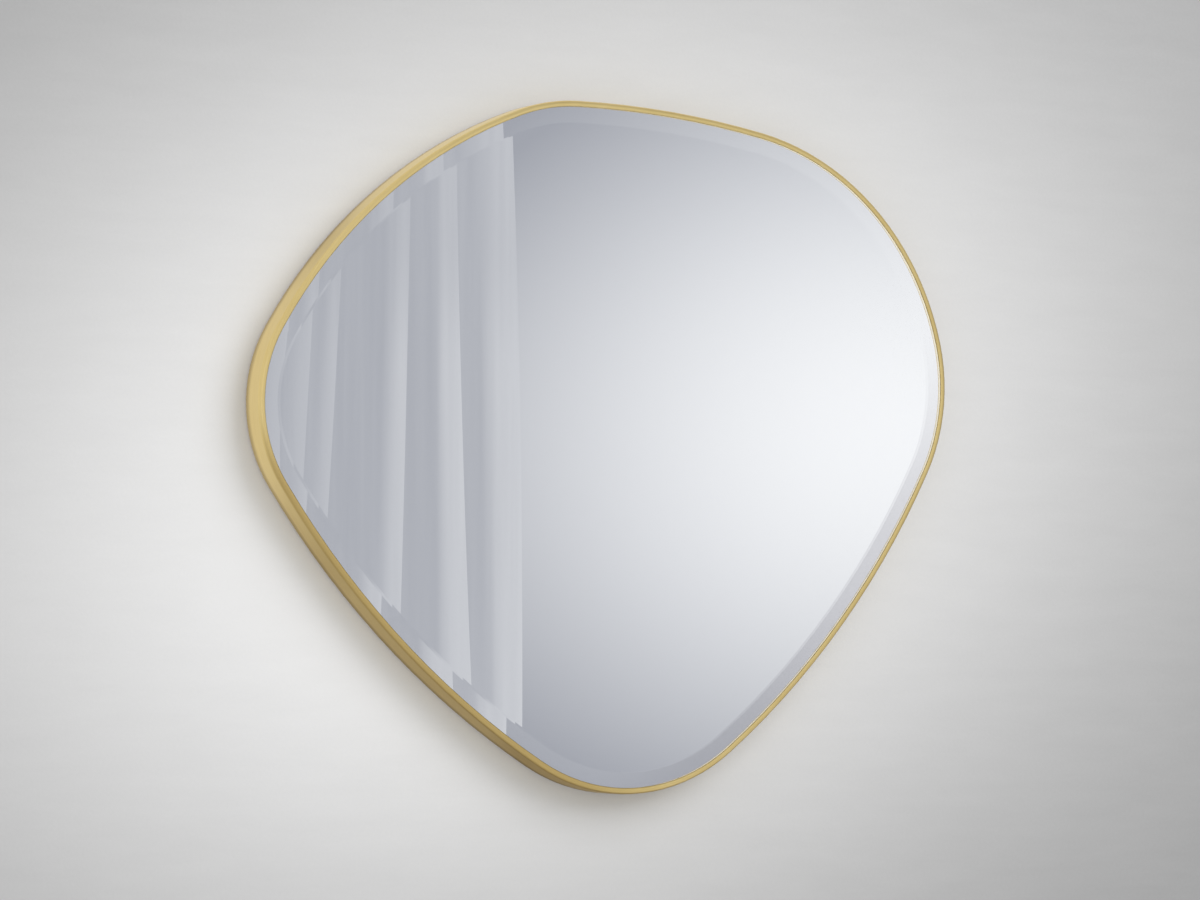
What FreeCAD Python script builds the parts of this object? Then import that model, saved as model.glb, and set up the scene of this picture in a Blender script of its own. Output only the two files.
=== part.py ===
import FreeCAD, Part
import math
import os

# A wall mirror of irregular pebble shape: bevelled glass in a deep, thin-walled metal frame.
#
# Millimetres and degrees. X runs to the right seen from the front, Z is up and Y runs into the
# wall: the wall's surface is the plane y = 0 and the mirror looks towards -Y. The origin is the
# point of the wall behind the middle of the outline. "Front" and "back" below are y values.


# ---------------------------------------------------------------- driving dimensions

# Outline of the frame, seen from the front: nine tangent arcs, counter-clockwise, each with
# its radius and the angle that it turns through. The arc after START_ANGLE, the direction that
# the outline faces there, is the shoulder. The bottom corner turns by what the others leave of
# a full turn, and the two sides beside it take the radii that close the outline.
START_ANGLE = 13.3
SHOULDER_RADIUS = 310.0
SHOULDER_TURN = 65.5
TOP_SIDE_RADIUS = 1190.0
TOP_SIDE_TURN = 11.5
TOP_CORNER_RADIUS = 210.0
TOP_CORNER_TURN = 20.5
UPPER_LEFT_SIDE_RADIUS = 575.0
UPPER_LEFT_SIDE_TURN = 39.0
LEFT_CORNER_RADIUS = 165.0
LEFT_CORNER_TURN = 63.5
LOWER_LEFT_SIDE_TURN = 25.0
BOTTOM_CORNER_RADIUS = 215.0
LOWER_RIGHT_SIDE_TURN = 25.0
RIGHT_CORNER_RADIUS = 220.0
RIGHT_CORNER_TURN = 40.5

# Frame: a side wall that stands off the wall, and a narrow lip round the front.
FRAME_DEPTH = 35.0
FRAME_WALL = 2.0
LIP_WIDTH = 7.0                  # from the outer face to the lip's free edge
LIP_THICKNESS = 2.0
FRONT_ROUND = 4.5                # between the side wall and the lip, outside
LIP_EDGE_ROUND = 1.6             # on the lip's free edge, so that the front looks like a bead

# Glass and what is behind it.
GLASS_THICKNESS = 5.0
BEVEL_WIDTH = 20.0
BEVEL_DROP = 2.0                 # how far the bevel falls from the front plane to the edge
GLASS_EDGE_GAP = 2.5             # round the glass, filled by the spacers
GLASS_SEAT_GAP = 0.1             # sealant between the bevel and the lip
SILVER_THICKNESS = 0.2
SILVER_SETBACK = 1.0             # the silvering stops short of the glass edge
TAPE_THICKNESS = 1.5
TAPE_WIDTH = 25.0
TAPE_SETBACK = 70.0
TAPE_COUNT = 5
TAPE_PITCH = 130.0
BOARD_THICKNESS = 9.0
BOARD_EDGE_GAP = 3.5

# Spacers in the gap round the glass: two setting blocks carry its weight.
SETTING_BLOCK_LENGTH = 40.0
SETTING_BLOCK_SPREAD = 22.0      # angle of the outline's direction each side of straight down
SPACER_LENGTH = 20.0
SPACER_DIRECTIONS = (-20.0, 30.0, 75.0, 112.0, 150.0, 200.0)

# Angle brackets between the frame and the board, evenly spaced along the frame.
BRACKET_COUNT = 8
BRACKET_WIDTH = 20.0
BRACKET_THICKNESS = 1.5
BRACKET_WALL_LEG = 13.0
BRACKET_BOARD_LEG = 24.0
BRACKET_HOLE_SETBACK = 15.0      # from the frame's wall to the screw
JOINT_PLATE_LENGTH = 60.0
JOINT_PLATE_HEIGHT = 13.0

# Plywood battens behind the board.
BATTEN_THICKNESS = 10.0
UPPER_BATTEN_LENGTH = 480.0
UPPER_BATTEN_WIDTH = 60.0
UPPER_BATTEN_HEIGHT = 190.0      # z of its middle
LOWER_BATTEN_LENGTH = 300.0
LOWER_BATTEN_WIDTH = 45.0
LOWER_BATTEN_HEIGHT = -205.0     # z of its middle
BATTEN_EDGE_ROUND = 2.0
BATTEN_SCREW_INSET = 110.0       # from a batten's end to its outer screw
BATTEN_SCREWS = 3

# Rubber buffers at the battens' ends keep the frame's rim off the wall.
BUFFER_HEIGHT = 12.0
BUFFER_BASE_RADIUS = 11.0
BUFFER_FACE_RADIUS = 9.5
BUFFER_RECESS_RADIUS = 5.0
BUFFER_RECESS_DEPTH = 7.0
BUFFER_END_INSET = 20.0          # from a batten's end to the buffer's middle

# Hangers: a strap with a rolled eye, and a D-ring that swings in the eye.
HANGER_END_INSET = 60.0          # from the upper batten's end to the strap's middle
RING_WIRE = 3.0
RING_HALF_WIDTH = 11.5           # to the wire's middle
RING_CORNER_RADIUS = 3.5
RING_LEG = 2.5                   # straight part of each leg
EYE_CLEARANCE = 0.3              # round the ring's wire, and from the raised ring to the strap
STRAP_THICKNESS = 1.2
STRAP_WIDTH = 14.0
STRAP_LENGTH = 33.0              # from the eye's axis to the strap's end
STRAP_END_ROUND = 4.0
EYE_SLIT = 0.8
EYE_SETBACK = 14.0               # the eye's axis below the batten's middle
STRAP_SCREW_HEIGHTS = (9.0, 26.0)

# Screws: thread radius, head radius, head height and length under the head.
BOARD_SCREW = (1.75, 3.4, 2.0, 9.0)
BATTEN_SCREW = (2.0, 4.0, 2.3, 16.0)
STRAP_SCREW = (1.75, 3.2, 1.9, 9.0)
BUFFER_SCREW = (1.75, 3.4, 2.0, 13.0)
SCREW_POINT = 3.0                # length of the tapered point
SCREW_POINT_RADIUS = 0.3
THREAD_GAP = 0.05                # between a thread and its pilot hole
SHANK_GAP = 0.25                 # between a thread and a clearance hole
RECESS_WIDTH = 0.9
RECESS_SHARE = 0.6               # the cross recess, as shares of the head's radius and height


# ---------------------------------------------------------------- the stack, from the wall forward

batten_back = -BUFFER_HEIGHT
board_back = batten_back - BATTEN_THICKNESS
board_front = board_back - BOARD_THICKNESS
silver_back = board_front - TAPE_THICKNESS
glass_back = silver_back - SILVER_THICKNESS
glass_front = glass_back - GLASS_THICKNESS
glass_edge_front = glass_front + BEVEL_DROP
glass_inset = FRAME_WALL + GLASS_EDGE_GAP
lip_overlap = LIP_WIDTH - glass_inset
bevel_slope = BEVEL_DROP / BEVEL_WIDTH
lip_back = glass_edge_front - lip_overlap * bevel_slope - GLASS_SEAT_GAP
frame_front = lip_back - LIP_THICKNESS
rebate_round = FRONT_ROUND - FRAME_WALL
frame_rim = frame_front + FRAME_DEPTH


# ---------------------------------------------------------------- outline

def chain_of_arcs():
    """Radius and turn (radians) of each arc, with the three values that close the outline."""
    arcs = [
        [SHOULDER_RADIUS, SHOULDER_TURN],
        [TOP_SIDE_RADIUS, TOP_SIDE_TURN],
        [TOP_CORNER_RADIUS, TOP_CORNER_TURN],
        [UPPER_LEFT_SIDE_RADIUS, UPPER_LEFT_SIDE_TURN],
        [LEFT_CORNER_RADIUS, LEFT_CORNER_TURN],
        [None, LOWER_LEFT_SIDE_TURN],
        [BOTTOM_CORNER_RADIUS, None],
        [None, LOWER_RIGHT_SIDE_TURN],
        [RIGHT_CORNER_RADIUS, RIGHT_CORNER_TURN],
    ]
    open_turn = next(arc for arc in arcs if arc[1] is None)
    open_turn[1] = 360.0 - sum(arc[1] for arc in arcs if arc[1] is not None)

    # Each arc moves the pen by its radius times a fixed vector, so the two open radii
    # solve two linear equations: all the moves add up to nothing.
    facing = math.radians(START_ANGLE)
    moves = []
    for arc in arcs:
        arc[1] = math.radians(arc[1])
        after = facing + arc[1]
        moves.append((math.cos(after) - math.cos(facing), math.sin(after) - math.sin(facing)))
        facing = after
    known_x = sum(arc[0] * move[0] for arc, move in zip(arcs, moves) if arc[0] is not None)
    known_z = sum(arc[0] * move[1] for arc, move in zip(arcs, moves) if arc[0] is not None)
    (first, (ax, az)), (second, (bx, bz)) = [
        (arc, move) for arc, move in zip(arcs, moves) if arc[0] is None]
    determinant = ax * bz - bx * az
    first[0] = (bx * known_z - bz * known_x) / determinant
    second[0] = (az * known_x - ax * known_z) / determinant
    return arcs


def lay_out(arcs):
    """The arcs as (centre x, centre z, radius, start, end), not yet centred."""
    placed = []
    facing = math.radians(START_ANGLE)
    x, z = 0.0, 0.0
    for radius, turn in arcs:
        centre_x = x - radius * math.cos(facing)
        centre_z = z - radius * math.sin(facing)
        placed.append((centre_x, centre_z, radius, facing, facing + turn))
        facing += turn
        x = centre_x + radius * math.cos(facing)
        z = centre_z + radius * math.sin(facing)
    return placed


def point_facing(placed, direction):
    """The outline's point that faces a direction, in degrees from +X towards +Z."""
    first_start = placed[0][3]
    full_turn = 2.0 * math.pi
    angle = first_start + (math.radians(direction) - first_start) % full_turn
    for centre_x, centre_z, radius, start, end in placed:
        if start <= angle <= end:
            return centre_x + radius * math.cos(angle), centre_z + radius * math.sin(angle), angle
    return point_facing(placed, direction + 1e-6)


def centred(placed):
    """The arcs moved so that the middle of the outline's extents is at the origin."""
    middle_x = (point_facing(placed, 0.0)[0] + point_facing(placed, 180.0)[0]) / 2.0
    middle_z = (point_facing(placed, 90.0)[1] + point_facing(placed, 270.0)[1]) / 2.0
    return [(cx - middle_x, cz - middle_z, radius, start, end)
            for cx, cz, radius, start, end in placed]


OUTLINE = centred(lay_out(chain_of_arcs()))
PERIMETER = sum(radius * (end - start) for _, _, radius, start, end in OUTLINE)


def station(distance):
    """Point and direction (radians) at a distance along the outline from its first arc."""
    left = distance % PERIMETER
    for centre_x, centre_z, radius, start, end in OUTLINE:
        length = radius * (end - start)
        if left <= length:
            angle = start + left / radius
            return centre_x + radius * math.cos(angle), centre_z + radius * math.sin(angle), angle
        left -= length
    return point_facing(OUTLINE, START_ANGLE)


def outline_wire(inset, y):
    """The outline moved inwards by inset, at depth y: the same arcs with smaller radii."""
    edges = []
    for centre_x, centre_z, radius, start, end in OUTLINE:
        inner = radius - inset
        points = [FreeCAD.Vector(centre_x + inner * math.cos(angle), y, centre_z + inner * math.sin(angle))
                  for angle in (start, (start + end) / 2.0, end)]
        edges.append(Part.Arc(*points).toShape())
    return Part.Wire(edges)


def slab(inset, front, back):
    """Everything inside the inset outline, between two depths."""
    return Part.Face(outline_wire(inset, front)).extrude(FreeCAD.Vector(0, back - front, 0))


def band(outer_inset, inner_inset, front, back):
    """A wall that follows the outline, between two insets and two depths."""
    return slab(outer_inset, front, back).cut(slab(inner_inset, front, back))


def window(place, width, reach, front, back):
    """A box across the frame at a station: width along the outline, reach inwards."""
    x, z, angle = place
    box = Part.makeBox(2.0 * reach, back - front, width, FreeCAD.Vector(-reach, front, -width / 2.0))
    box.rotate(FreeCAD.Vector(0, 0, 0), FreeCAD.Vector(0, -1, 0), math.degrees(angle))
    box.translate(FreeCAD.Vector(x, 0, z))
    return box


def inset_point(place, inset):
    """The point at an inset straight inwards of a station."""
    x, z, angle = place
    return x - inset * math.cos(angle), z - inset * math.sin(angle)


# ---------------------------------------------------------------- common pieces

def turned(profile, x, z):
    """A solid of revolution about an axis along Y through (x, z); profile is (radius, y)."""
    points = [FreeCAD.Vector(radius, y, 0) for radius, y in profile]
    face = Part.Face(Part.makePolygon(points + points[:1]))
    solid = face.revolve(FreeCAD.Vector(0, 0, 0), FreeCAD.Vector(0, 1, 0), 360)
    solid.translate(FreeCAD.Vector(x, 0, z))
    return solid


def hole(x, z, radius, front, back):
    """A round cutter along Y."""
    return Part.makeCylinder(radius, back - front, FreeCAD.Vector(x, front, z), FreeCAD.Vector(0, 1, 0))


def screw(size, x, seat, z):
    """A pan-head wood screw that points forward, with its head's underside at seat."""
    thread, head, head_height, length = size
    crown = 0.72                 # share of the head's radius that is flat on top
    shoulder = 0.55              # share of the head's height up to where the crown begins
    body = turned([
        (0, seat - length),
        (SCREW_POINT_RADIUS, seat - length),
        (thread, seat - length + SCREW_POINT),
        (thread, seat),
        (head, seat),
        (head, seat + shoulder * head_height),
        (crown * head, seat + head_height),
        (0, seat + head_height),
    ], x, z)
    depth = RECESS_SHARE * head_height
    reach = RECESS_SHARE * head
    for half_x, half_z in ((reach, RECESS_WIDTH / 2.0), (RECESS_WIDTH / 2.0, reach)):
        slot = Part.makeBox(2.0 * half_x, depth, 2.0 * half_z,
                            FreeCAD.Vector(x - half_x, seat + head_height - depth, z - half_z))
        body = body.cut(slot)
    return body


def drilled(shape, size, places, gap, front, back):
    """The shape with a hole for each screw of a size."""
    for x, z in places:
        shape = shape.cut(hole(x, z, size[0] + gap, front, back))
    return shape


def edges_at(shape, y, longest):
    """The edges that lie at a depth and stay within a length of an outline arc."""
    tolerance = 1e-4
    return [edge for edge in shape.Edges
            if abs(edge.BoundBox.YMin - y) < tolerance
            and abs(edge.BoundBox.YMax - y) < tolerance
            and edge.Length <= longest]


# ---------------------------------------------------------------- frame

def make_frame():
    """The side wall and the lip, with a soft rounding between them."""
    outside = slab(0.0, frame_front, frame_rim)
    front_edges = edges_at(outside, frame_front, PERIMETER)
    outside = outside.makeFillet(FRONT_ROUND, front_edges)
    rebate = slab(FRAME_WALL, lip_back, frame_rim)
    rebate = rebate.makeFillet(rebate_round, edges_at(rebate, lip_back, PERIMETER))
    sight = slab(LIP_WIDTH, frame_front, lip_back)
    frame = outside.cut(rebate).cut(sight)
    lip_edges = [edge for edge in edges_at(frame, frame_front, PERIMETER)
                 if on_inset(edge, LIP_WIDTH)]
    return frame.makeFillet(LIP_EDGE_ROUND, lip_edges)


def on_inset(edge, inset):
    """Whether an edge is one of the outline's arcs at this inset."""
    tolerance = 1e-3
    return any(abs(edge.Curve.Radius - (radius - inset)) < tolerance
               for _, _, radius, _, _ in OUTLINE if hasattr(edge.Curve, "Radius"))


def make_joint_plate():
    """The plate that backs the closing joint of the bent profile, at the very bottom."""
    place = point_facing(OUTLINE, 270.0)
    back = board_back + BRACKET_THICKNESS + JOINT_PLATE_HEIGHT
    front = board_back + BRACKET_THICKNESS
    wall = band(FRAME_WALL, FRAME_WALL + BRACKET_THICKNESS, front, back)
    return wall.common(window(place, JOINT_PLATE_LENGTH, JOINT_PLATE_LENGTH, front, back))


# ---------------------------------------------------------------- glass and board

def make_glass():
    """The pane: a slab up to the edge's height, and the bevelled part in front of it."""
    body = slab(glass_inset, glass_edge_front, glass_back)
    bevel = Part.makeLoft([
        outline_wire(glass_inset, glass_edge_front),
        outline_wire(glass_inset + BEVEL_WIDTH, glass_front),
    ], True, True)
    return body.fuse(bevel).removeSplitter()


def make_silvering():
    return slab(glass_inset + SILVER_SETBACK, glass_back, silver_back)


def make_tapes():
    """Upright strips of foam tape between the silvered glass and the board."""
    area = slab(TAPE_SETBACK, silver_back, board_front)
    box = area.BoundBox
    strips = []
    for number in range(TAPE_COUNT):
        middle = (number - (TAPE_COUNT - 1) / 2.0) * TAPE_PITCH
        strip = Part.makeBox(TAPE_WIDTH, TAPE_THICKNESS, box.ZLength,
                             FreeCAD.Vector(middle - TAPE_WIDTH / 2.0, silver_back, box.ZMin))
        strips.append(strip.common(area))
    return Part.makeCompound(strips)


def edge_piece(direction, length):
    """A rubber piece between the glass edge and the frame, back to the board's front."""
    place = point_facing(OUTLINE, direction)
    front = lip_back + rebate_round
    gap = band(FRAME_WALL, glass_inset, front, board_front)
    return gap.common(window(place, length, length, front, board_front))


# ---------------------------------------------------------------- places on the back

centre_of_gravity = Part.Face(outline_wire(0.0, 0.0)).CenterOfMass
balance_x = centre_of_gravity.x
bracket_places = [station((number + 0.5) * PERIMETER / BRACKET_COUNT) for number in range(BRACKET_COUNT)]
bracket_screw_points = [inset_point(place, FRAME_WALL + BRACKET_HOLE_SETBACK) for place in bracket_places]
eye_z = UPPER_BATTEN_HEIGHT - EYE_SETBACK
eye_y = batten_back + RING_WIRE / 2.0 + EYE_CLEARANCE + STRAP_THICKNESS


def along_batten(length, inset, count):
    """X of points spread evenly between two insets from a batten's ends."""
    reach = length / 2.0 - inset
    return [balance_x - reach + 2.0 * reach * number / (count - 1) for number in range(count)]


battens = {
    "upper_batten": (UPPER_BATTEN_LENGTH, UPPER_BATTEN_WIDTH, UPPER_BATTEN_HEIGHT),
    "lower_batten": (LOWER_BATTEN_LENGTH, LOWER_BATTEN_WIDTH, LOWER_BATTEN_HEIGHT),
}
batten_screw_points = {
    name: [(x, z) for x in along_batten(length, BATTEN_SCREW_INSET, BATTEN_SCREWS)]
    for name, (length, width, z) in battens.items()
}
buffer_points = {
    name: [(x, z) for x in along_batten(length, BUFFER_END_INSET, 2)]
    for name, (length, width, z) in battens.items()
}
hanger_xs = dict(zip(("left", "right"), along_batten(UPPER_BATTEN_LENGTH, HANGER_END_INSET, 2)))
strap_screw_points = [(x, eye_z + height) for x in hanger_xs.values() for height in STRAP_SCREW_HEIGHTS]


# ---------------------------------------------------------------- back of the mirror

def make_board():
    board = slab(FRAME_WALL + BOARD_EDGE_GAP, board_front, board_back)
    board = drilled(board, BOARD_SCREW, bracket_screw_points, THREAD_GAP, board_front, board_back)
    for name in battens:
        board = drilled(board, BATTEN_SCREW, batten_screw_points[name], THREAD_GAP, board_front, board_back)
    return board


def make_bracket(place, screw_point):
    """One leg curved to the frame's wall, the other flat on the board."""
    wall_back = board_back + BRACKET_WALL_LEG
    leg_back = board_back + BRACKET_THICKNESS
    wall_leg = band(FRAME_WALL, FRAME_WALL + BRACKET_THICKNESS, board_back, wall_back)
    board_leg = band(FRAME_WALL, FRAME_WALL + BRACKET_BOARD_LEG, board_back, leg_back)
    across = window(place, BRACKET_WIDTH, 2.0 * BRACKET_BOARD_LEG, board_back, wall_back)
    bracket = wall_leg.common(across).fuse(board_leg.common(across)).removeSplitter()
    return drilled(bracket, BOARD_SCREW, [screw_point], SHANK_GAP, board_back, leg_back)


def make_batten(name):
    length, width, z = battens[name]
    batten = Part.makeBox(length, BATTEN_THICKNESS, width,
                          FreeCAD.Vector(balance_x - length / 2.0, board_back, z - width / 2.0))
    batten = batten.makeFillet(BATTEN_EDGE_ROUND, edges_at(batten, batten_back, length))
    batten = drilled(batten, BATTEN_SCREW, batten_screw_points[name], SHANK_GAP, board_back, batten_back)
    batten = drilled(batten, BUFFER_SCREW, buffer_points[name], THREAD_GAP, board_back, batten_back)
    if name == "upper_batten":
        batten = drilled(batten, STRAP_SCREW, strap_screw_points, THREAD_GAP, board_back, batten_back)
    return batten


def make_buffer(x, z):
    """A tapered rubber foot with a recess that hides its screw."""
    floor = -BUFFER_RECESS_DEPTH
    bore = BUFFER_SCREW[0] + SHANK_GAP
    return turned([
        (bore, batten_back),
        (BUFFER_BASE_RADIUS, batten_back),
        (BUFFER_FACE_RADIUS, 0.0),
        (BUFFER_RECESS_RADIUS, 0.0),
        (BUFFER_RECESS_RADIUS, floor),
        (bore, floor),
    ], x, z)


def make_strap(x):
    """A steel strap on the batten, rolled at its lower end into an eye round the ring."""
    eye_inner = RING_WIRE / 2.0 + EYE_CLEARANCE
    eye_outer = eye_inner + STRAP_THICKNESS
    left = x - STRAP_WIDTH / 2.0
    along_x = FreeCAD.Vector(1, 0, 0)
    plate_back = batten_back + STRAP_THICKNESS
    plate = Part.makeBox(STRAP_WIDTH, STRAP_THICKNESS, STRAP_LENGTH,
                         FreeCAD.Vector(left, batten_back, eye_z))
    end_edges = [edge for edge in plate.Edges
                 if edge.BoundBox.ZMin > eye_z + STRAP_LENGTH / 2.0 and edge.BoundBox.YLength > STRAP_THICKNESS / 2.0]
    plate = plate.makeFillet(STRAP_END_ROUND, end_edges)
    start = FreeCAD.Vector(left, eye_y, eye_z)
    eye = Part.makeCylinder(eye_outer, STRAP_WIDTH, start, along_x)
    bore = Part.makeCylinder(eye_inner, STRAP_WIDTH, start, along_x)
    slit = Part.makeBox(STRAP_WIDTH, EYE_SLIT, 2.0 * eye_outer,
                        FreeCAD.Vector(left, plate_back, eye_z))
    strap = plate.fuse(eye).cut(bore).cut(slit).removeSplitter()
    points = [(x, eye_z + height) for height in STRAP_SCREW_HEIGHTS]
    return drilled(strap, STRAP_SCREW, points, SHANK_GAP, batten_back, plate_back)


def make_ring(x):
    """A D of round wire, hanging down: a straight bar in the eye, two legs and a half circle."""
    half = RING_HALF_WIDTH
    corner = RING_CORNER_RADIUS
    leg_end = -(corner + RING_LEG)
    slant = math.sqrt(0.5)

    def at(dx, dz):
        return FreeCAD.Vector(x + dx, eye_y, eye_z + dz)

    def corner_arc(side):
        middle_x = side * (half - corner + corner * slant)
        return Part.Arc(at(side * (half - corner), 0), at(middle_x, -corner + corner * slant),
                        at(side * half, -corner)).toShape()

    path = Part.Wire(Part.__sortEdges__([
        Part.LineSegment(at(-(half - corner), 0), at(half - corner, 0)).toShape(),
        corner_arc(1),
        Part.LineSegment(at(half, -corner), at(half, leg_end)).toShape(),
        Part.Arc(at(half, leg_end), at(0, leg_end - half), at(-half, leg_end)).toShape(),
        Part.LineSegment(at(-half, leg_end), at(-half, -corner)).toShape(),
        corner_arc(-1),
    ]))
    section = Part.Wire(Part.makeCircle(RING_WIRE / 2.0, at(-(half - corner), 0), FreeCAD.Vector(1, 0, 0)))
    return path.makePipeShell([section], True, False)


# ---------------------------------------------------------------- write every piece

def all_pieces():
    pieces = {
        "frame": make_frame(),
        "frame_joint_plate": make_joint_plate(),
        "mirror_glass": make_glass(),
        "silvering": make_silvering(),
        "foam_tapes": make_tapes(),
        "backing_board": make_board(),
        "setting_blocks": Part.makeCompound([
            edge_piece(270.0 + side * SETTING_BLOCK_SPREAD, SETTING_BLOCK_LENGTH) for side in (-1, 1)]),
        "edge_spacers": Part.makeCompound([
            edge_piece(direction, SPACER_LENGTH) for direction in SPACER_DIRECTIONS]),
    }
    for number, (place, point) in enumerate(zip(bracket_places, bracket_screw_points), 1):
        pieces["frame_bracket_%d" % number] = make_bracket(place, point)
    leg_back = board_back + BRACKET_THICKNESS
    pieces["bracket_screws"] = Part.makeCompound([
        screw(BOARD_SCREW, x, leg_back, z) for x, z in bracket_screw_points])
    for name in battens:
        pieces[name] = make_batten(name)
    pieces["batten_screws"] = Part.makeCompound([
        screw(BATTEN_SCREW, x, batten_back, z) for name in battens for x, z in batten_screw_points[name]])
    for name, points in buffer_points.items():
        level = name.split("_")[0]
        for side, (x, z) in zip(("left", "right"), points):
            pieces["wall_buffer_%s_%s" % (level, side)] = make_buffer(x, z)
    pieces["buffer_screws"] = Part.makeCompound([
        screw(BUFFER_SCREW, x, -BUFFER_RECESS_DEPTH, z) for points in buffer_points.values() for x, z in points])
    for side, x in hanger_xs.items():
        pieces["hanger_strap_%s" % side] = make_strap(x)
        pieces["hanger_ring_%s" % side] = make_ring(x)
    strap_back = batten_back + STRAP_THICKNESS
    pieces["hanger_screws"] = Part.makeCompound([
        screw(STRAP_SCREW, x, strap_back, z) for x, z in strap_screw_points])
    return pieces


os.makedirs("parts", exist_ok=True)
for piece_name, piece in all_pieces().items():
    piece.exportStep("parts/%s.step" % piece_name)

print("outline radii", [round(arc[2], 1) for arc in OUTLINE])
print("frame front y %.2f, rim y %.2f, glass front y %.2f" % (frame_front, frame_rim, glass_front))
print("balance at x %.1f, z %.1f" % (balance_x, centre_of_gravity.z))
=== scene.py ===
import bpy
import math

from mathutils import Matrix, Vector


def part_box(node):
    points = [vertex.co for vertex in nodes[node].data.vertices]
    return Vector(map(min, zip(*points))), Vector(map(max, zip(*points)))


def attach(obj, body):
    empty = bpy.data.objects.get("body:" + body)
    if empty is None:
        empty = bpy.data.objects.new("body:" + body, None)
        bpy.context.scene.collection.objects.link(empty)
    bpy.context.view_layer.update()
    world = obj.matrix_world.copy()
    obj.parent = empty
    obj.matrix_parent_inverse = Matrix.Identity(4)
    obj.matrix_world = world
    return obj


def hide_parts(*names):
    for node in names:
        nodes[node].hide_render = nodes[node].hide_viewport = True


# A pebble-shaped wall mirror: bevelled glass in a deep frame of brushed, gold-coloured metal.
# Metres. The wall is the plane y = 0, the mirror looks towards -Y, Z is up.

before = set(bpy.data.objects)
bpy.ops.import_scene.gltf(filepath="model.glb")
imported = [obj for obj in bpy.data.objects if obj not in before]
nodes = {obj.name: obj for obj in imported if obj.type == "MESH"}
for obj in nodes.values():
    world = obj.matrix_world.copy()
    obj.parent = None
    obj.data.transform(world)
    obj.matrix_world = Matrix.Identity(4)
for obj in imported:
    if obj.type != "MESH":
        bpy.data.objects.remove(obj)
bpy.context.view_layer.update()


# ---------------------------------------------------------------- shader expressions

class Reading:
    """A value or colour that changes over a surface: wraps one socket, so that it can be used in sums."""

    def __init__(self, finish, socket):
        self.finish = finish
        self.socket = socket

    def maths(self, operation, *values):
        return self.finish.maths(operation, *values)

    def __add__(self, other):
        return self.maths("ADD", self, other)

    __radd__ = __add__

    def __sub__(self, other):
        return self.maths("SUBTRACT", self, other)

    def __rsub__(self, other):
        return self.maths("SUBTRACT", other, self)

    def __mul__(self, other):
        return self.maths("MULTIPLY", self, other)

    __rmul__ = __mul__

    def __truediv__(self, other):
        return self.maths("DIVIDE", self, other)

    def __rtruediv__(self, other):
        return self.maths("DIVIDE", other, self)

    def __pow__(self, other):
        return self.maths("POWER", self, other)

    def __abs__(self):
        return self.maths("ABSOLUTE", self)

    def exponent(self):
        return self.maths("EXPONENT", self)

    def __gt__(self, other):
        return self.maths("GREATER_THAN", self, other)

    def __lt__(self, other):
        return self.maths("LESS_THAN", self, other)


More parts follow.
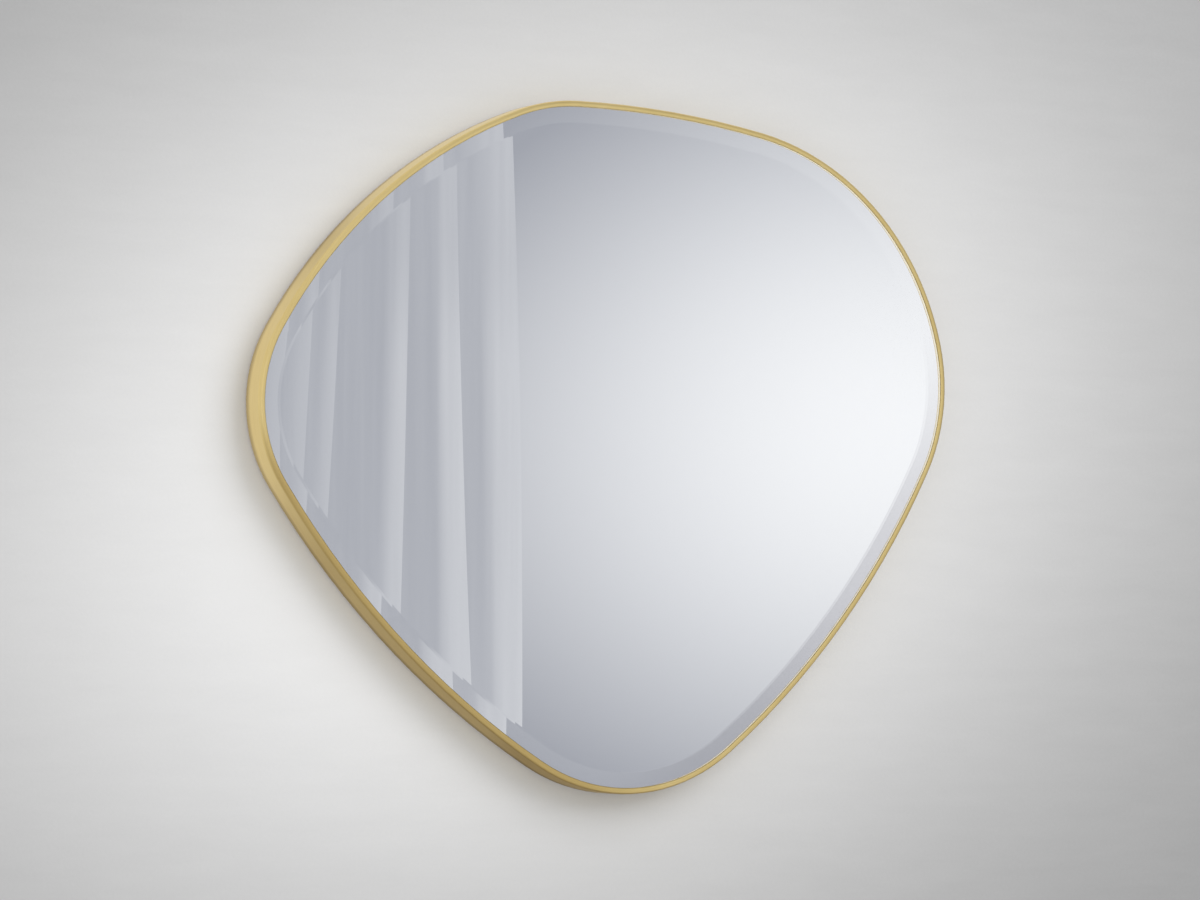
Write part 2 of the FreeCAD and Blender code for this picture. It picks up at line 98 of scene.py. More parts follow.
class Finish:
    """The node tree of a material or of the sky, while it is being made."""

    def __init__(self, owner):
        owner.use_nodes = True
        self.owner = owner
        self.tree = owner.node_tree
        self.tree.nodes.clear()

    def node(self, kind, settings=None, values=None, output=0):
        """Adds a node: its settings first, then its sockets' values or links. Gives one of its outputs."""
        made = self.tree.nodes.new(kind)
        for name, setting in (settings or {}).items():
            if name == "stops":
                self.set_stops(made.color_ramp, setting)
            else:
                setattr(made, name, setting)
        for name, value in (values or {}).items():
            if isinstance(value, Reading):
                self.tree.links.new(value.socket, made.inputs[name])
            else:
                made.inputs[name].default_value = value
        return Reading(self, made.outputs[output]) if made.outputs else None

    def maths(self, operation, *values):
        return self.node("ShaderNodeMath", {"operation": operation}, dict(enumerate(values)))

    @staticmethod
    def set_stops(ramp, stops):
        while len(ramp.elements) < len(stops):
            ramp.elements.new(1.0)
        for element, (position, tone) in zip(ramp.elements, stops):
            element.position = position
            element.color = (*tone, 1.0)

    def place(self):
        """Where the surface is, in the object's own metres."""
        return self.node("ShaderNodeTexCoord", output="Object")

    def axes(self, vector):
        parts = self.tree.nodes.new("ShaderNodeSeparateXYZ")
        self.tree.links.new(vector.socket, parts.inputs[0])
        return [Reading(self, parts.outputs[axis]) for axis in "XYZ"]

    def facing(self):
        """How much the surface faces the wall or the room: 1 where it lies flat to them, 0 at the sides."""
        return abs(self.axes(self.node("ShaderNodeNewGeometry", output="Normal"))[1])

    def ray(self, kind):
        """1 for the light's rays of one kind, 0 for all others."""
        return self.node("ShaderNodeLightPath", output="Is %s Ray" % kind)

    def vector(self, x, y, z):
        return self.node("ShaderNodeCombineXYZ", values={"X": x, "Y": y, "Z": z})

    def stretched(self, vector, x, y, z):
        return self.node("ShaderNodeVectorMath", {"operation": "MULTIPLY"}, {0: vector, 1: (x, y, z)})

    def noise(self, vector, scale, detail=2.0, roughness=0.5, distortion=0.0):
        return self.node("ShaderNodeTexNoise", None, {
            "Vector": vector, "Scale": scale, "Detail": detail,
            "Roughness": roughness, "Distortion": distortion})

    def cells(self, vector, scale, output="Distance"):
        return self.node("ShaderNodeTexVoronoi", None, {"Vector": vector, "Scale": scale}, output)

    def between(self, value, low, high, to_low=0.0, to_high=1.0, smooth=False):
        """Maps low..high to to_low..to_high and stops at both ends."""
        return self.node("ShaderNodeMapRange", {
            "clamp": True, "interpolation_type": "SMOOTHSTEP" if smooth else "LINEAR"}, {
            "Value": value, "From Min": low, "From Max": high, "To Min": to_low, "To Max": to_high})

    def blend(self, share, first, second):
        """Mixes two colours; the share changes over the surface."""
        mixed = self.tree.nodes.new("ShaderNodeMix")
        mixed.data_type = "RGBA"
        for name, value in (("Factor_Float", share), ("A_Color", first), ("B_Color", second)):
            socket = next(s for s in mixed.inputs if s.identifier == name)
            if isinstance(value, Reading):
                self.tree.links.new(value.socket, socket)
            else:
                socket.default_value = (*value, 1.0)
        return Reading(self, next(s for s in mixed.outputs if s.identifier == "Result_Color"))

    def ramp(self, value, *stops):
        return self.node("ShaderNodeValToRGB", {"stops": stops}, {"Fac": value})

    def relief(self, height, depth, share=1.0):
        """A normal from a height between 0 and 1, which stands for so many metres."""
        return self.node("ShaderNodeBump", None, {"Height": height, "Distance": depth, "Strength": share})

    def surface(self, **values):
        """The shader, with its sockets named in words joined by _."""
        named = {name.replace("_", " "): value for name, value in values.items()}
        self.show(self.node("ShaderNodeBsdfPrincipled", None, named))

    def one_sided(self, shader):
        """Leaves the surface out where the camera is behind it."""
        behind = self.node("ShaderNodeNewGeometry", output="Backfacing")
        clear = self.node("ShaderNodeBsdfTransparent")
        return self.node("ShaderNodeMixShader", None, {0: behind * self.ray("Camera"), 1: shader, 2: clear})

    def show(self, shader):
        on_piece = isinstance(self.owner, bpy.types.Material)
        output = "ShaderNodeOutputMaterial" if on_piece else "ShaderNodeOutputWorld"
        self.node(output, None, {"Surface": shader})


def finish_named(name):
    return Finish(bpy.data.materials.new(name))


def grey(level):
    return (level, level, level)


def dress(finish, *names):
    for name in names:
        mesh = nodes[name].data
        mesh.materials.clear()
        mesh.materials.append(finish.owner)


# ---------------------------------------------------------------- camera

# The photo looks from 29 degrees to the left and a little below, from 5 m away.
VIEW_TURN = math.radians(28.8)
VIEW_RISE = math.radians(2.52)
VIEW_DISTANCE = 5.0
VIEW_AIM = Vector((-0.00292, -0.00305, -0.00146))
LENS = 133.9
SENSOR_WIDTH = 36.0


def make_camera():
    ahead = Vector((math.sin(VIEW_TURN) * math.cos(VIEW_RISE),
                    math.cos(VIEW_TURN) * math.cos(VIEW_RISE),
                    math.sin(VIEW_RISE)))
    camera = bpy.data.cameras.new("camera")
    camera.lens = LENS
    camera.sensor_width = SENSOR_WIDTH
    camera.clip_start = 0.05
    camera.clip_end = 100.0
    holder = bpy.data.objects.new("camera", camera)
    holder.location = VIEW_AIM - ahead * VIEW_DISTANCE
    holder.rotation_euler = ahead.to_track_quat("-Z", "Y").to_euler()
    bpy.context.scene.collection.objects.link(holder)
    bpy.context.scene.camera = holder


make_camera()


# ---------------------------------------------------------------- brushed gold

GOLD = (0.82, 0.645, 0.285)
GOLD_DEEP = (0.74, 0.560, 0.225)
GOLD_PALE = (0.90, 0.730, 0.370)
# painted shade: the tone of the darkened back rim
GOLD_RIM_PAINTED_SHADE = (0.42, 0.31, 0.13)
# painted shade: the tone of the rounded front along the lower left
GOLD_SHADED = (0.58, 0.42, 0.16)
FRAME_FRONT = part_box("frame")[0].y
FRAME_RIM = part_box("frame")[1].y
# the painted shade along the back rim:
RIM_SHADE_STARTS = 0.011              # the dark rim begins this far ahead of the frame's back
RIM_SHADE_FULL = 0.002                # and is full here
ROUND_FULL = 0.002              # the shaded front is full this far behind the frame's front
ROUND_ENDS = 0.006              # and ends here


def brushed_gold():
    f = finish_named("brushed_gold")
    place = f.place()
    x, y, z = f.axes(place)
    # the brush ran round the frame: marks are long along the outline and fine across it
    reach = (x * x + z * z) ** 0.5
    around_x, around_z = x / reach, z / reach
    marks = f.vector(around_x * 14.0, around_z * 14.0, y * 2400.0 + reach * 1100.0)
    brush = f.noise(marks, 1.0, 3.0, 0.65)
    fine_marks = f.vector(around_x * 60.0, around_z * 60.0, y * 7000.0 + reach * 5200.0)
    fine = f.noise(fine_marks, 1.0, 2.0, 0.6)
    cloud = f.noise(place, 9.0, 3.0, 0.55)
    tone = f.ramp(brush * 0.6 + cloud * 0.4, (0.28, GOLD_DEEP), (0.5, GOLD), (0.74, GOLD_PALE))
    # painted shade: the gold is darkened along the back rim, for the shadow that lies close to the wall
    rim = f.between(y, FRAME_RIM - RIM_SHADE_STARTS, FRAME_RIM - RIM_SHADE_FULL, 0.0, 0.8, smooth=True)
    tone = f.blend(rim, tone, GOLD_RIM_PAINTED_SHADE)
    # painted shade also deepens the rounded front along the lower left
    lower = f.between(around_z, -0.12, 0.06, 1.0, 0.0, smooth=True)
    left = f.between(around_x, -0.1, 0.15, 1.0, 0.0)
    front = f.between(y, FRAME_FRONT + ROUND_FULL, FRAME_FRONT + ROUND_ENDS, 0.8, 0.0)
    tone = f.blend(lower * left * front, tone, GOLD_SHADED)
    rough = f.between(brush * 0.7 + fine * 0.3, 0.25, 0.75, 0.30, 0.44)
    f.surface(Base_Color=tone, Metallic=1.0, Roughness=rough,
              Normal=f.relief(brush * 0.5 + fine * 0.5, 0.00003, 0.6))
    return f


dress(brushed_gold(), "frame")


# ---------------------------------------------------------------- glass and its silvering

glass_lowest, glass_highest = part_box("mirror_glass")
GLASS_FRONT = glass_lowest.y
GLASS_BACK = glass_highest.y
BEVEL_DROP = 0.002
SKIN = 0.00006                  # what lies within this of the glass's back is silvered
SILVER = (0.965, 0.97, 0.972)
PAINT_GAP = 0.00005
EDGE_COVER = 0.00023            # how far the bevel rises before it comes out from under the lip
BEVEL_FOOT = 0.00004            # what lies this far behind the glass's front is bevel
CLEAR = (0.985, 0.995, 0.992)
MOST_HAZE = 0.004               # roughness of the glass where it is polished least
# painted shade: the bevel's grey tint towards the lower right
BEVEL_PAINTED_SHADE = (0.73, 0.73, 0.745)
GLASS_BENDING = 1.52
SEALANT_DEEP = (0.60, 0.52, 0.36)
SEALANT_PALE = (0.70, 0.62, 0.45)
# painted light: the glow of the sealant under the lip
SEALANT_PAINTED_LIGHT = (0.62, 0.61, 0.57)
SEALANT_PAINTED_LIGHT_STRENGTH = 0.9


def silvered_glass():
    """Clear glass whose back face is its mirror, so that the ground bevel works as a prism."""
    f = finish_named("silvered_glass")
    place = f.place()
    x, y, z = f.axes(place)
    back = y > GLASS_BACK - SKIN
    # painted shade: the bevel is tinted greyer towards the lower right, standing for a dim part of the room
    # in its reflection
    lower_right = (x * 0.8 - z * 0.6) / (x * x + z * z) ** 0.5
    darker = f.between(lower_right, 0.50, 0.97, smooth=True) * (y > GLASS_FRONT + BEVEL_FOOT)
    tint = f.blend(darker, CLEAR, BEVEL_PAINTED_SHADE)
    tint = f.blend(back, tint, SILVER)
    # front and bevel aren't polished quite evenly; the silvered back is
    haze = f.noise(place, 35.0, 2.0, 0.5)
    rough = f.between(haze, 0.35, 0.8, 0.0, MOST_HAZE) * (1.0 - back)
    glass = f.node("ShaderNodeBsdfPrincipled", None, {
        "Base Color": tint, "Metallic": back, "Roughness": rough,
        "Transmission Weight": 1.0, "IOR": GLASS_BENDING})
    # under the lip the edge lies in pale sealant; its glow is painted light, standing for light that runs
    # inside the glass
    grain = f.noise(place, 800.0, 2.0, 0.5)
    sealant = f.node("ShaderNodeBsdfPrincipled", None, {
        "Base Color": f.ramp(grain, (0.3, SEALANT_DEEP), (0.7, SEALANT_PALE)), "Roughness": 0.6,
        "Emission Color": (*SEALANT_PAINTED_LIGHT, 1.0), "Emission Strength": SEALANT_PAINTED_LIGHT_STRENGTH})
    sealed = (y > GLASS_FRONT + BEVEL_DROP - EDGE_COVER) * (1.0 - back)
    f.show(f.node("ShaderNodeMixShader", None, {0: sealed, 1: glass, 2: sealant}))
    return f


def backing_paint():
    """The grey paint that protects the silver."""
    f = finish_named("backing_paint")
    flow = f.noise(f.place(), 60.0, 4.0, 0.6)
    paint = f.ramp(flow, (0.3, (0.23, 0.24, 0.25)), (0.7, (0.30, 0.31, 0.32)))
    f.surface(Base_Color=paint, Roughness=f.between(flow, 0.2, 0.8, 0.42, 0.6),
              Normal=f.relief(flow, 0.00002, 0.5))
    return f


def make_paint_coat():
    """The paint coat, its front face a hair behind the glass, so that the two faces don't coincide."""
    mesh = nodes["silvering"].data.copy()
    front, back = (corner.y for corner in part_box("silvering"))
    middle = (front + back) / 2.0
    for vertex in mesh.vertices:
        if vertex.co.y < middle:
            vertex.co.y += PAINT_GAP
    mesh.materials.clear()
    mesh.materials.append(backing_paint().owner)
    coat = bpy.data.objects.new("paint_coat", mesh)
    bpy.context.scene.collection.objects.link(coat)
    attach(coat, "mirror")
    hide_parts("silvering")


dress(silvered_glass(), "mirror_glass")
make_paint_coat()


# ---------------------------------------------------------------- finishes of the back

def fibreboard():
    f = finish_named("fibreboard")
    place = f.place()
    fibre = f.noise(f.stretched(place, 1.0, 1.0, 1.6), 420.0, 5.0, 0.72, 0.6)
    fleck = f.cells(place, 900.0)
    cloud = f.noise(place, 14.0, 3.0, 0.5)
    matted = fibre * 0.8 + cloud * 0.2
    face = f.ramp(matted, (0.30, (0.235, 0.150, 0.085)), (0.52, (0.330, 0.218, 0.128)),
                  (0.72, (0.425, 0.300, 0.190)))
    dark_fleck = f.between(fleck, 0.0, 0.16, 0.45, 0.0)
    face = f.blend(dark_fleck, face, (0.16, 0.10, 0.055))
    sawn = f.between(f.facing(), 0.3, 0.7, 0.28, 0.0)
    face = f.blend(sawn, face, (0.18, 0.115, 0.065))
    f.surface(Base_Color=face, Roughness=f.between(fibre, 0.2, 0.8, 0.72, 0.92),
              Normal=f.relief(matted, 0.00018, 0.8))
    return f


PLY = 0.002                     # thickness of one ply of the battens
PLY_ORIGIN = 0.012              # the battens' back face, ahead of the wall
GLUE_LINE = 0.00018


def plywood():
    f = finish_named("plywood")
    place = f.place()
    x, y, z = f.axes(place)
    # face grain runs along the batten; five plies show at its edges, every second one end grain
    sway = f.noise(f.stretched(place, 5.0, 5.0, 26.0), 1.0, 2.0, 0.5)
    rings = f.noise(f.vector(x * 6.0, y * 60.0, z * 260.0 + sway * 14.0), 1.0, 4.0, 0.62)
    pores = f.noise(f.stretched(place, 160.0, 2200.0, 2600.0), 1.0, 2.0, 0.7)
    face = f.ramp(rings,
                  (0.26, (0.40, 0.255, 0.135)), (0.50, (0.56, 0.395, 0.235)), (0.72, (0.67, 0.51, 0.335)))
    face = f.blend(f.between(pores, 0.60, 0.78, 0.0, 0.45), face, (0.27, 0.165, 0.085))
    ply = f.maths("PINGPONG", y + PLY_ORIGIN, PLY)
    end_ply = f.between(ply, 0.45 * PLY, 0.55 * PLY)
    end_grain = f.noise(f.stretched(place, 2400.0, 900.0, 2400.0), 1.0, 2.0, 0.6)
    edge = f.blend(end_ply, face, (0.33, 0.205, 0.11))
    edge = f.blend(f.between(end_grain, 0.4, 0.7, 0.0, 0.35), edge, (0.22, 0.13, 0.07))
    glue = f.between(abs(ply - PLY / 2.0), 0.0, GLUE_LINE, 0.75, 0.0)
    edge = f.blend(glue, edge, (0.12, 0.065, 0.035))
    on_edge = f.between(f.facing(), 0.45, 0.65, 1.0, 0.0)
    f.surface(Base_Color=f.blend(on_edge, face, edge), Roughness=f.between(rings, 0.2, 0.8, 0.48, 0.66),
              Normal=f.relief(rings * 0.5 + pores * 0.5, 0.00012, 0.7))
    return f


def rubber():
    f = finish_named("rubber")
    place = f.place()
    grain = f.noise(place, 1500.0, 3.0, 0.6)
    bloom = f.noise(place, 120.0, 3.0, 0.6)
    tone = f.ramp(bloom, (0.35, (0.022, 0.022, 0.023)), (0.72, (0.050, 0.050, 0.052)))
    f.surface(Base_Color=tone, Roughness=f.between(grain * 0.5 + bloom * 0.5, 0.3, 0.7, 0.55, 0.8),
              Normal=f.relief(grain, 0.00006, 0.7))
    return f


def foam():
    f = finish_named("foam")
    place = f.place()
    pore = f.cells(place, 1100.0)
    cloud = f.noise(place, 90.0, 2.0, 0.5)
    tone = f.ramp(pore * 0.7 + cloud * 0.3, (0.15, (0.42, 0.42, 0.40)), (0.55, (0.72, 0.72, 0.70)))
    f.surface(Base_Color=tone, Roughness=f.between(pore, 0.0, 0.6, 0.95, 0.8),
              Normal=f.relief(pore, 0.0002, 0.8))
    return f


def galvanised():
    f = finish_named("galvanised_steel")
    place = f.place()
    spangle = f.axes(f.cells(place, 340.0, output="Color"))[0]
    smear = f.noise(place, 90.0, 4.0, 0.6)
    tone = f.ramp(spangle * 0.6 + smear * 0.4,
                  (0.2, (0.40, 0.415, 0.43)), (0.55, (0.52, 0.535, 0.55)), (0.85, (0.66, 0.67, 0.68)))
    rough = f.between(spangle * 0.5 + smear * 0.5, 0.2, 0.8, 0.30, 0.52)
    f.surface(Base_Color=tone, Metallic=1.0, Roughness=rough, Normal=f.relief(smear, 0.00005, 0.5))
    return f


def nickel():
    f = finish_named("nickelled_steel")
    place = f.place()
    scratch = f.noise(f.stretched(place, 900.0, 900.0, 70.0), 1.0, 3.0, 0.7)
    dull = f.noise(place, 160.0, 3.0, 0.6)
    tone = f.ramp(scratch * 0.5 + dull * 0.5, (0.3, (0.50, 0.475, 0.43)), (0.7, (0.68, 0.655, 0.60)))
    f.surface(Base_Color=tone, Metallic=1.0, Roughness=f.between(scratch, 0.25, 0.75, 0.16, 0.34),
              Normal=f.relief(scratch, 0.00003, 0.5))
    return f


def zinc():
    f = finish_named("bright_zinc")
    place = f.place()
    tumble = f.noise(place, 700.0, 4.0, 0.65)
    stain = f.noise(place, 220.0, 2.0, 0.5)
    tone = f.ramp(tumble * 0.5 + stain * 0.5,
                  (0.3, (0.44, 0.46, 0.50)), (0.55, (0.60, 0.61, 0.63)), (0.75, (0.68, 0.66, 0.58)))
    f.surface(Base_Color=tone, Metallic=1.0, Roughness=f.between(tumble, 0.25, 0.75, 0.22, 0.42),
              Normal=f.relief(tumble, 0.00004, 0.5))
    return f


BRACKETS = ["frame_bracket_%d" % number for number in range(1, 9)]
SIDES = ("left", "right")
BUFFERS = ["wall_buffer_%s_%s" % (level, side) for level in ("upper", "lower") for side in SIDES]
HANGERS = ["hanger_%s_%s" % (part, side) for part in ("strap", "ring") for side in SIDES]

dress(fibreboard(), "backing_board")
dress(plywood(), "upper_batten", "lower_batten")
dress(rubber(), "setting_blocks", "edge_spacers", *BUFFERS)
dress(foam(), "foam_tapes")
dress(galvanised(), "frame_joint_plate", *BRACKETS)
dress(nickel(), *HANGERS)
dress(zinc(), "bracket_screws", "batten_screws", "buffer_screws", "hanger_screws")


# ---------------------------------------------------------------- studio

def flat_mesh(name, corners):
    """A flat stage piece in the plane of its corners."""
    mesh = bpy.data.meshes.new(name)
    mesh.from_pydata(corners, [], [tuple(range(len(corners)))])
    piece = bpy.data.objects.new(name, mesh)
    bpy.context.scene.collection.objects.link(piece)
    return piece


WALL_HALF_WIDTH = 3.2
WALL_TOP = 2.6
FLOOR_HEIGHT = -1.35
OPENING_SHARE = 0.955           # the wall is left open behind the mirror, out of sight from the front
OPENING_POINTS = 96
FLOOR_REACH = 9.0


def hull(points):
    """The corners of the least convex outline round flat points, counter-clockwise."""
    def turn(a, b, c):
        return (b[0] - a[0]) * (c[1] - a[1]) - (b[1] - a[1]) * (c[0] - a[0])

    def half(ordered):
        chain = []
        for point in ordered:
            while len(chain) > 1 and turn(chain[-2], chain[-1], point) <= 0.0:
                chain.pop()
            chain.append(point)
        return chain[:-1]

    ordered = sorted(set(points))
    return half(ordered) + half(ordered[::-1])


def mirror_silhouette(share):
    """Points of the frame's outline, drawn in towards its middle, evenly turned round it."""
    corners = hull([(vertex.co.x, vertex.co.z) for vertex in nodes["frame"].data.vertices])
    spokes = []
    for number in range(OPENING_POINTS):
        angle = 2.0 * math.pi * number / OPENING_POINTS
        way = (math.cos(angle), math.sin(angle))
        for (ax, az), (bx, bz) in zip(corners, corners[1:] + corners[:1]):
            side_a = way[0] * az - way[1] * ax
            side_b = way[0] * bz - way[1] * bx
            if side_a <= 0.0 < side_b:
                along = side_a / (side_a - side_b)
                x, z = ax + along * (bx - ax), az + along * (bz - az)
                spokes.append(Vector((x * share, 0.0, z * share)))
    return spokes


# Where the pool of light painted on the wall is brightest, and how far it reaches.
LIGHT_POOL_MIDDLE = (-0.116, -0.028)
LIGHT_POOL_REACH = (0.771, 0.551)
LIGHT_POOL_TILT = 0.853

# Painted reflection, what metal shows of the wall: where a dimmer patch lies, how far it reaches, and the
# tones.
DIP_MIDDLE = (-0.33, 0.215)
DIP_REACH = (0.07, 0.06)
DIP_DEPTH = 0.4
SHINE_LOW = (0.24, 0.205, 0.16)
SHINE_HIGH = (0.84, 0.83, 0.80)
SHINE_SHARE = 0.8               # the rest is the plaster as it is lit


def wall_finish():
    f = finish_named("plaster_wall")
    place = f.place()
    x, _, z = f.axes(place)
    trowel = f.noise(f.stretched(place, 3.0, 1.0, 14.0), 3.0, 5.0, 0.6)
    grit = f.noise(place, 260.0, 3.0, 0.6)
    # painted light: a pool of light is painted into the plaster's colour, brightest round the mirror and
    # fading outwards
    aside = x - LIGHT_POOL_MIDDLE[0]
    above = z - LIGHT_POOL_MIDDLE[1]
    fall = (aside / LIGHT_POOL_REACH[0]) ** 2.0 + (above / LIGHT_POOL_REACH[1]) ** 2.0 - aside * above * LIGHT_POOL_TILT
    pale = (fall * -1.0).exponent() + (trowel * 0.6 + grit * 0.4 - 0.5) * 0.12
    tone = f.ramp(pale, (0.0, (0.32, 0.32, 0.322)), (0.8, grey(0.84)), (1.0, grey(0.93)))
    plaster = f.node("ShaderNodeBsdfPrincipled", None, {
        "Base Color": tone, "Roughness": 0.9, "Specular IOR Level": 0.2,
        "Normal": f.relief(trowel * 0.5 + grit * 0.5, 0.0003, 0.4)})
    # painted reflection: metal shows a glow in place of the wall, lit from above left, and without much of
    # the frame's own shadow
    upper = f.between(z - x * 0.3, -0.06, 0.14, smooth=True)
    lower = f.between(z, -0.34, -0.14, 0.25, 0.0, smooth=True)
    lowest = f.between(z, -0.38, -0.31, 0.35, 0.0, smooth=True)
    right = f.between(x, 0.30, 0.42, 0.0, 0.35)
    dip_x = (x - DIP_MIDDLE[0]) / DIP_REACH[0]
    dip_z = (z - DIP_MIDDLE[1]) / DIP_REACH[1]
    dip = ((dip_x ** 2.0 + dip_z ** 2.0) * -1.0).exponent()
    level = (upper - lower - lowest - right) * 0.66 - dip * DIP_DEPTH + 0.34
    shine = f.ramp(level, (0.0, SHINE_LOW), (1.0, SHINE_HIGH))
    glow = f.node("ShaderNodeEmission", None, {"Color": shine, "Strength": 1.0})
    wall = f.node("ShaderNodeMixShader", None, {0: f.ray("Glossy") * SHINE_SHARE, 1: plaster, 2: glow})
    f.owner.cycles.emission_sampling = "NONE"
    f.show(f.one_sided(wall))
    return f


def make_wall():
    """A ring of faces from the opening behind the mirror out to the wall's rectangle."""
    opening = mirror_silhouette(OPENING_SHARE)
    rim = []
    for point in opening:
        stretch = min(WALL_HALF_WIDTH / max(abs(point.x), 1e-6),
                      (WALL_TOP if point.z > 0 else -FLOOR_HEIGHT) / max(abs(point.z), 1e-6))
        rim.append(point * stretch)
    corners = [(WALL_HALF_WIDTH, WALL_TOP), (-WALL_HALF_WIDTH, WALL_TOP),
               (-WALL_HALF_WIDTH, FLOOR_HEIGHT), (WALL_HALF_WIDTH, FLOOR_HEIGHT)]
    for x, z in corners:
        nearest = min(range(len(rim)), key=lambda i: (rim[i] - Vector((x, 0.0, z))).length)
        rim[nearest] = Vector((x, 0.0, z))
    count = len(opening)
    points = [tuple(p) for p in opening + rim]
    faces = []
    for i in range(count):
        j = (i + 1) % count
        faces.append((i, count + i, count + j, j))
    mesh = bpy.data.meshes.new("wall")
    mesh.from_pydata(points, [], faces)
    mesh.materials.append(wall_finish().owner)
    wall = bpy.data.objects.new("wall", mesh)
    bpy.context.scene.collection.objects.link(wall)
    if mesh.polygons[0].normal.y > 0.0:
        mesh.flip_normals()
    wall.visible_diffuse = False


def floor_finish():
    f = finish_named("pale_floor")
    place = f.place()
    cloud = f.noise(place, 1.3, 4.0, 0.5)
    grit = f.noise(place, 180.0, 2.0, 0.5)
    tone = f.ramp(cloud * 0.7 + grit * 0.3, (0.3, grey(0.60)), (0.7, (0.67, 0.67, 0.665)))
    floor = f.node("ShaderNodeBsdfPrincipled", None, {
        "Base Color": tone, "Roughness": 0.75, "Normal": f.relief(grit, 0.0002, 0.3)})
    f.show(f.one_sided(floor))
    return f


def make_floor():
    corners = [(-1, -1), (1, -1), (1, 1), (-1, 1)]
    floor = flat_mesh("floor", [(x * FLOOR_REACH, y * FLOOR_REACH, FLOOR_HEIGHT) for x, y in corners])
    floor.data.materials.append(floor_finish().owner)


# The mirror shows a softly lit, half open pleated screen that stands before it. Only what is seen
# through the glass shows it.
SCREEN_AWAY = 0.20              # in front of the silvering
SCREEN_HALF_WIDTH = 1.9
SCREEN_HALF_HEIGHT = 1.3
SHADE_TONE = (0.349, 0.360, 0.410)
LIGHT_TONE = (0.950, 0.951, 0.976)
GLOW_MIDDLE = (0.516, 0.045)
GLOW_REACH = (0.883, 0.586)
GLOW_TILT = 0.323
SCREEN_STRENGTH = 1.02

# Folds of the screen from left to right: where each ends, x = a + b z + c z z, its light in
# the shade and where it is lit, and between which shares of its width the one turns into the other.
FOLDS = [
    ((-0.3500, 0.0500, 0.0000), 0.10, 0.17, 0.30, 0.90),
    ((-0.2890, 0.0580, 0.0000), 0.11, 0.25, 0.40, 0.92),
    ((-0.2560, 0.0620, -0.0330), 0.12, 0.27, 0.25, 0.80),
    ((-0.1640, 0.0250, -0.0140), 0.11, 0.36, 0.60, 0.92),
    ((-0.0900, -0.0350, 0.0250), 0.12, 0.42, 0.50, 0.74),
    ((-0.0155, -0.0173, -0.0330), 0.15, 0.44, 0.28, 0.66),
]


def screen_finish():
    f = finish_named("pleated_screen")
    x, _, z = f.axes(f.place())
    aside = x - GLOW_MIDDLE[0]
    above = z - GLOW_MIDDLE[1]
    fall = (aside / GLOW_REACH[0]) ** 2.0 + (above / GLOW_REACH[1]) ** 2.0 - aside * above * GLOW_TILT
    # where the screen is open, the light falls off round its brightest place
    open_light = f.between((fall * -1.0).exponent() * 1.166 - 0.22, 0.36, 0.95)
    # each fold brightens towards its right-hand edge, less so higher up, and ends there sharply
    crease = f.noise(f.vector(x * 80.0, 0.0, z * 2.0), 1.0, 3.0, 0.55)
    upward = f.between(z, 0.08, 0.26, 1.0, 0.5, smooth=True)
    light = FOLDS[0][1]
    left = None
    for (a, b, c), shade, lit, start, end in FOLDS:
        right = z * z * c + z * b + a
        if left is not None:
            share = (x - left) / (right - left)
            rise = f.between(share, start, end, 0.0, 0.8, smooth=True)
            rise = rise + f.between(share, 0.8, 1.0, 0.0, 0.2)
            inside = (x > left) * (x < right)
            light = light + inside * (rise * upward * (lit - shade) + (shade - FOLDS[0][1]))
        left = right
    light = light + (crease - 0.5) * 0.14
    opened = x > left
    tone = f.blend(light * (1.0 - opened) + open_light * opened, SHADE_TONE, LIGHT_TONE)
    f.show(f.node("ShaderNodeEmission", None, {"Color": tone, "Strength": SCREEN_STRENGTH}))
    f.owner.cycles.emission_sampling = "NONE"
    return f


def make_screen():
    y = GLASS_BACK - SCREEN_AWAY
    w, h = SCREEN_HALF_WIDTH, SCREEN_HALF_HEIGHT
    screen = flat_mesh("pleated_screen", [(-w, y, -h), (-w, y, h), (w, y, h), (w, y, -h)])
    screen.data.materials.append(screen_finish().owner)
    screen.visible_camera = False
    screen.visible_diffuse = False
    screen.visible_glossy = False
    screen.visible_shadow = False


SOFTBOX_PLACE = Vector((1.55, -2.5, 1.9))
SOFTBOX_SIDE = 2.6
SOFTBOX_WATTS = 58.0


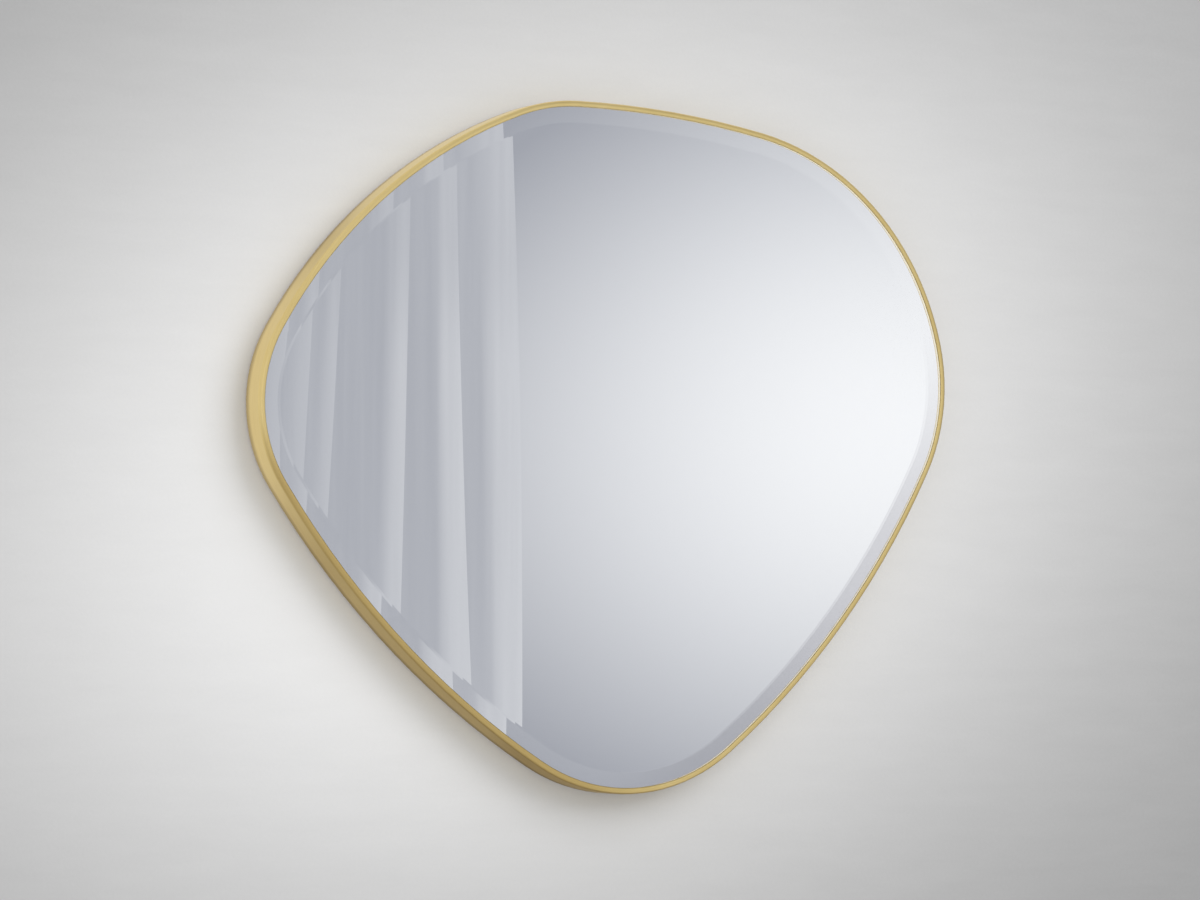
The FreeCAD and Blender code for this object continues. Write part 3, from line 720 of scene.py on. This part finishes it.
def make_softbox():
    """A square lamp at the upper right, aimed at the mirror's middle. Metal doesn't show it."""
    lamp = bpy.data.lights.new("softbox", "AREA")
    lamp.shape = "SQUARE"
    lamp.size = SOFTBOX_SIDE
    lamp.energy = SOFTBOX_WATTS
    holder = bpy.data.objects.new("softbox", lamp)
    holder.location = SOFTBOX_PLACE
    holder.rotation_euler = (-SOFTBOX_PLACE).to_track_quat("-Z", "Y").to_euler()
    holder.visible_glossy = False
    bpy.context.scene.collection.objects.link(holder)


# Tones of the room round the mirror, from straight down (0) to straight up (1): its light on what is
# lit by it, what the camera sees of it directly or through glass, and what metal mirrors of it.
ROOM_LIGHT = (0.0, (0.52, 0.52, 0.53)), (0.5, grey(0.74)), (1.0, grey(0.94))
ROOM_SEEN = (0.0, (0.72, 0.72, 0.725)), (0.5, grey(0.80)), (1.0, grey(0.90))
ROOM_IN_METAL = ((0.0, grey(0.42)), (0.36, grey(0.60)), (0.48, grey(0.84)),
                 (0.60, grey(0.84)), (0.78, grey(0.60)), (1.0, grey(0.45)))


def make_sky():
    world = bpy.data.worlds.new("studio")
    bpy.context.scene.world = world
    f = Finish(world)
    x, _, z = f.axes(f.node("ShaderNodeTexCoord", output="Generated"))
    height = f.between(z, -1.0, 1.0)
    seen = f.maths("MAXIMUM", f.ray("Camera"), f.ray("Transmission"))
    # on the left the room in metal is pale all the way up, and palest at eye level on the near left
    left = f.between(x, -0.25, 0.35, 0.85, 0.0, smooth=True)
    metal = f.blend(left, f.ramp(height, *ROOM_IN_METAL), grey(0.82))
    near_left = f.between(abs(x + 0.45), 0.12, 0.30, 1.0, 0.0, smooth=True)
    eye_level = f.between(abs(z), 0.15, 0.35, 0.9, 0.0, smooth=True)
    metal = f.blend(near_left * eye_level, metal, grey(1.05))
    # it is dim on the far right, which shapes the rounded front
    far_right = f.between(x, 0.55, 0.98, 0.0, 0.55, smooth=True)
    metal = f.blend(far_right, metal, grey(0.25))
    room = f.blend(seen, f.ramp(height, *ROOM_LIGHT), f.ramp(height, *ROOM_SEEN))
    colour = f.blend(f.ray("Glossy"), room, metal)
    f.show(f.node("ShaderNodeBackground", None, {"Color": colour, "Strength": 1.0}))
    world.cycles.sampling_method = "NONE"


make_wall()
make_floor()
make_screen()
make_sky()
make_softbox()

bpy.context.scene.view_settings.view_transform = "Standard"
